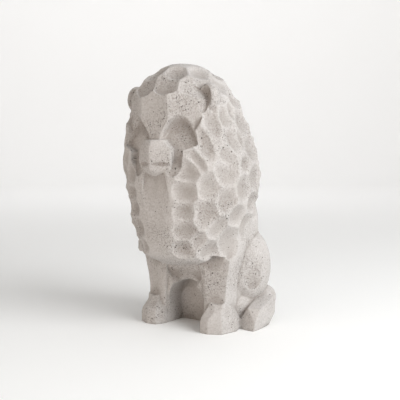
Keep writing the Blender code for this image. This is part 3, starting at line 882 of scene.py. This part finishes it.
relief = np.zeros(len(points))
for index, point in enumerate(points):
    here = Vector(point)
    wave = noise.noise(here / WAVE_SIZE) * WAVE_DEPTH
    grain = noise.fractal(here / GRAIN_SIZE, 1.0, 2.0, 2) * GRAIN_DEPTH
    nearest = noise.voronoi(here / PIT_SPACING)[0][0]
    pit = max(0.0, 1.0 - nearest / PIT_RADIUS) * PIT_DEPTH
    grain *= GRAIN_WHERE_SMOOTH + (1.0 - GRAIN_WHERE_SMOOTH) * pitted[index]
    relief[index] = wave + grain - pit * pitted[index] ** 2
relief[points[:, 2] < UNDERSIDE_BAND] = 0.0
points += normals * relief[:, None]
move_skin(lion, points)
for name, values in (("pitted", pitted), ("hollow", hollow)):
    layer = mesh.attributes.new(name, "FLOAT", "POINT")
    layer.data.foreach_set("value", values)
print("relief from", round(float(relief.min()), 2), "to", round(float(relief.max()), 2), "parts")

# %% [markdown]
# ## Into its place
#
# The frame's origin is the middle of the lion's footprint box, so the finished skin is moved by the
# difference between its own box and the CAD solid's. Its object stays at the origin.

# %% Centre it over the CAD solid
points = skin_points(lion)
middle = (points.min(axis=0) + points.max(axis=0)) / 2 * PART
axis_x = (cad_low[0] + cad_high[0]) / 2 - middle[0]
axis_y = (cad_low[1] + cad_high[1]) / 2 - middle[1]
lion.data.transform(Matrix.Translation((axis_x, axis_y, 0.0)))
lion.name = "carved_lion"
lion.data.name = "carved_lion"
lion.data.shade_smooth()
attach(lion, "root")
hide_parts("lion")
print("mane axis at", round(axis_x * 1000, 2), round(axis_y * 1000, 2), "mm")

# %% [markdown]
# ## Limestone, chiselled and rubbed
#
# Limestone is pale, quite matt and a little warm. What tells the eye that it is stone and not
# plaster is its open grain: clusters of tiny dark pores, a faint clouding of the colour, and chalky
# ridges where the tool bruised it. The pores are Voronoi dots, placed by real millimetres on Object
# coordinates, and they thin out where the stone is rubbed smooth. Painted shade darkens the
# dishes, creases and other hollows of the skin as well.

# %% Helpers for materials
def linear(hex_colour):
    """An sRGB hex colour as linear red, green, blue and alpha."""
    values = [int(hex_colour[i : i + 2], 16) / 255 for i in (1, 3, 5)]
    return (*(v / 12.92 if v <= 0.04045 else ((v + 0.055) / 1.055) ** 2.4 for v in values), 1.0)


def add_node(tree, kind, inputs=None, **settings):
    """Add a node, set its properties, and give its inputs values or other nodes' outputs."""
    node = tree.nodes.new("ShaderNode" + kind)
    for name, value in settings.items():
        setattr(node, name, value)
    for name, value in (inputs or {}).items():
        if isinstance(value, bpy.types.NodeSocket):
            tree.links.new(value, node.inputs[name])
        else:
            node.inputs[name].default_value = value
    return node


MM = 0.001
CLOUD_SIZE = 34 * MM
MOTTLE_SIZE = 7 * MM
CLUSTER_SIZE = 8 * MM
GRIT_SIZE = 1.7 * MM
GRIT_DEPTH = 0.9 * MM
STONE = linear("#C3BFBC")
# The dark stone colour, for the clouding and the grit, and also for the painted shade in hollows.
STONE_DARK_AND_PAINTED_SHADE = linear("#9B938D")
STONE_CHALK = linear("#D6D3D1")
PORE = linear("#554E47")
print("stone in linear light:", [round(v, 3) for v in STONE[:3]])

# %% Limestone
stone = bpy.data.materials.new("limestone_chiselled")
stone.use_nodes = True
tree = stone.node_tree
tree.nodes.clear()
place = add_node(tree, "TexCoord").outputs["Object"]
open_share = add_node(tree, "Attribute", attribute_name="pitted").outputs["Fac"]
hollow_share = add_node(tree, "Attribute", attribute_name="hollow").outputs["Fac"]


def noise_of(size, detail=2.0, roughness=0.5):
    """Noise whose features are about the given size in metres."""
    inputs = {"Vector": place, "Scale": 1.0 / size, "Detail": detail, "Roughness": roughness}
    return add_node(tree, "TexNoise", inputs).outputs["Fac"]


def ranged(value, low, high, to_low=0.0, to_high=1.0):
    """A value carried from one range to another and kept inside it."""
    inputs = {"Value": value, "From Min": low, "From Max": high, "To Min": to_low, "To Max": to_high}
    return add_node(tree, "MapRange", inputs).outputs["Result"]


def maths(operation, a, b):
    """Two values combined."""
    return add_node(tree, "Math", {0: a, 1: b}, operation=operation).outputs["Value"]


def mixed(share, a, b):
    """Colour a, with b over it by the share given."""
    return add_node(tree, "Mix", {0: share, 6: a, 7: b}, data_type="RGBA").outputs[2]


def pores(spacing, radius, chance):
    """Dots of about the radius given, in metres, in a random part of the cells of that spacing."""
    cell = add_node(tree, "TexVoronoi", {"Vector": place, "Scale": 1.0 / spacing, "Randomness": 1.0})
    luck = add_node(tree, "SeparateColor", {"Color": cell.outputs["Color"]})
    near = ranged(cell.outputs["Distance"], radius / spacing * 1.2, radius / spacing * 0.7)
    present = maths("LESS_THAN", luck.outputs["Red"], chance)
    return maths("MULTIPLY", near, present)


clouds = noise_of(CLOUD_SIZE, 3.0)
mottle = noise_of(MOTTLE_SIZE, 3.0, 0.6)
grit = noise_of(GRIT_SIZE, 3.0, 0.75)
colour = mixed(ranged(clouds, 0.35, 0.75, 0.0, 0.2), STONE, STONE_DARK_AND_PAINTED_SHADE)
colour = mixed(ranged(mottle, 0.5, 0.8, 0.0, 0.35), colour, STONE_CHALK)
rough_share = ranged(open_share, 0.0, 0.8, 0.55, 1.0)
speckle = maths("MULTIPLY", ranged(grit, 0.46, 0.62), rough_share)
colour = mixed(maths("MULTIPLY", speckle, 0.85), colour, STONE_DARK_AND_PAINTED_SHADE)
colour = mixed(ranged(hollow_share, -0.3, -0.9, 0.0, 0.12), colour, STONE_CHALK)
# Painted shade: the hollows, creases and dishes of the skin are darkened towards the dark stone colour.
colour = mixed(ranged(hollow_share, 0.2, 1.0, 0.0, 0.6), colour, STONE_DARK_AND_PAINTED_SHADE)
clusters = ranged(noise_of(CLUSTER_SIZE, 3.0, 0.6), 0.40, 0.60)
where = maths("MULTIPLY", open_share, maths("ADD", maths("MULTIPLY", clusters, 0.8), 0.2))
small = pores(1.5 * MM, 0.30 * MM, maths("MULTIPLY", where, 0.9))
medium = pores(2.6 * MM, 0.48 * MM, maths("MULTIPLY", where, 0.8))
large = pores(5.0 * MM, 0.72 * MM, maths("MULTIPLY", where, 0.55))
stray = pores(5.0 * MM, 0.5 * MM, 0.4)
pore = maths("MAXIMUM", maths("MAXIMUM", small, medium), maths("MAXIMUM", large, stray))
colour = mixed(maths("MULTIPLY", pore, 0.9), colour, PORE)
print("nodes for the colour:", len(tree.nodes))

# %% Relief too fine for the mesh
height = maths("SUBTRACT", maths("MULTIPLY", maths("MULTIPLY", grit, rough_share), 1.2), pore)
bump = add_node(tree, "Bump", {"Height": height, "Distance": GRIT_DEPTH, "Strength": 1.0})
shader = add_node(
    tree,
    "BsdfPrincipled",
    {
        "Base Color": colour,
        "Roughness": ranged(mottle, 0.3, 0.7, 0.86, 0.96),
        "IOR": 1.5,
        "Specular IOR Level": 0.3,
        "Normal": bump.outputs["Normal"],
    },
)
add_node(tree, "OutputMaterial", {"Surface": shader.outputs["BSDF"]})
lion.data.materials.clear()
lion.data.materials.append(stone)
print("nodes in the limestone:", len(tree.nodes))

# %% [markdown]
# ## Stage
#
# The lion stands on a plain white floor that curves up into a wall far behind it, the same all the
# way round, so that no horizon shows. It is a bowl: one profile, spun a full turn.

# %% Floor and backdrop
FLOOR_RADIUS = 2.6
COVE_RADIUS = 0.8
WALL_HEIGHT = 1.6
COVE_STEPS = 16
SPIN_STEPS = 96
MERGE_DISTANCE = 1e-5

bowl = bmesh.new()
rim_point = bowl.verts.new((FLOOR_RADIUS, 0.0, 0.0))
cove = bmesh.ops.spin(bowl, geom=[rim_point], cent=(FLOOR_RADIUS, 0.0, COVE_RADIUS), axis=(0.0, -1.0, 0.0),
                      angle=math.pi / 2, steps=COVE_STEPS, use_merge=False)
centre = bowl.verts.new((0.0, 0.0, 0.0))
bowl.edges.new((centre, rim_point))
top = [part for part in cove["geom_last"] if isinstance(part, bmesh.types.BMVert)]
wall = bmesh.ops.extrude_vert_indiv(bowl, verts=top)
bmesh.ops.translate(bowl, verts=wall["verts"], vec=(0.0, 0.0, WALL_HEIGHT))
profile = bowl.verts[:] + bowl.edges[:]
bmesh.ops.spin(bowl, geom=profile, cent=(0, 0, 0), axis=(0, 0, 1), angle=math.tau, steps=SPIN_STEPS,
               use_merge=True)
bmesh.ops.remove_doubles(bowl, verts=bowl.verts, dist=MERGE_DISTANCE)
floor = mesh_object("floor", bowl)
if floor.data.polygons[0].normal.z < 0:
    floor.data.flip_normals()
floor.data.shade_smooth()
paper = bpy.data.materials.new("white_paper")
paper.use_nodes = True
paper.node_tree.nodes["Principled BSDF"].inputs["Base Color"].default_value = linear("#FAFAF9")
paper.node_tree.nodes["Principled BSDF"].inputs["Roughness"].default_value = 0.95
floor.data.materials.append(paper)
print("floor of", len(floor.data.polygons), "faces")

# %% [markdown]
# ## Light
#
# The key is one large soft box on the lion's left, a little above it, so that planes facing that way
# glow, the front of the face stays in soft shade and each dish shows its rim. A second box overhead
# lights the floor and the crown. A weak warm one, low in front, reaches under the chest and into the
# recess. Even light from all round fills the rest, and the wall behind has a light of its own, as in
# a photographer's studio.

# %% Lights
AXIS = Vector((axis_x, axis_y, 0.0))


def soft_box(name, place, target, width, height, power, colour):
    """Add a rectangular area light that faces a target."""
    data = bpy.data.lights.new(name, "AREA")
    data.shape = "RECTANGLE"
    data.size = width
    data.size_y = height
    data.energy = power
    data.color = colour
    light = bpy.data.objects.new(name, data)
    light.location = place
    light.rotation_euler = (Vector(target) - Vector(place)).to_track_quat("-Z", "Y").to_euler()
    bpy.context.scene.collection.objects.link(light)
    return light


def around(azimuth, distance, height):
    """A place round the lion: azimuth 0 is in front of its face, 90 is on its left."""
    turn = math.radians(azimuth)
    return AXIS + Vector((distance * math.sin(turn), -distance * math.cos(turn), height))


CHEST = AXIS + Vector((0.0, 0.0, 0.14))
soft_box("key", around(86.0, 1.15, 0.72), CHEST, 0.9, 0.8, 15.5, (0.98, 0.99, 1.0))
soft_box("overhead", around(35.0, 0.35, 1.9), around(35.0, 0.35, 0.0), 3.2, 3.2, 17.2, (0.95, 0.98, 1.0))
soft_box("backdrop", around(215.0, 1.5, 1.9), around(215.0, 3.4, 0.5), 2.4, 0.6, 24.0, (0.98, 0.98, 1.0))
soft_box("warm fill", around(-5.0, 1.5, 0.15), CHEST, 1.6, 0.3, 4.0, (1.0, 0.74, 0.54))
world = bpy.data.worlds.new("studio")
world.use_nodes = True
world.node_tree.nodes["Background"].inputs["Color"].default_value = (1.0, 0.95, 0.90, 1.0)
world.node_tree.nodes["Background"].inputs["Strength"].default_value = 0.23
bpy.context.scene.world = world
bpy.context.scene.view_settings.view_transform = "Standard"
print("four soft boxes and an even fill")

# %% [markdown]
# ## Camera
#
# The photograph looks at the lion from its left front, about 35 degrees round from the face, from a
# little above its middle. The lens is moderately long. The lion stands slightly left of the
# picture's middle, which a small lens shift gives without turning the camera.

# %% Camera
CAMERA_AZIMUTH = 35.0
CAMERA_DISTANCE = 0.765
CAMERA_HEIGHT = 0.198
AIM_HEIGHT = 0.1365
LENS_MM = 63.5
SENSOR_MM = 36.0
SHIFT_X = 0.0215

camera_data = bpy.data.cameras.new("camera")
camera_data.lens = LENS_MM
camera_data.sensor_width = SENSOR_MM
camera_data.shift_x = SHIFT_X
camera_data.clip_start = 0.01
camera = bpy.data.objects.new("camera", camera_data)
camera.location = around(CAMERA_AZIMUTH, CAMERA_DISTANCE, CAMERA_HEIGHT)
look = AXIS + Vector((0.0, 0.0, AIM_HEIGHT)) - camera.location
camera.rotation_euler = look.to_track_quat("-Z", "Y").to_euler()
bpy.context.scene.collection.objects.link(camera)
bpy.context.scene.camera = camera
print("camera", round(look.length, 3), "m from its aim")
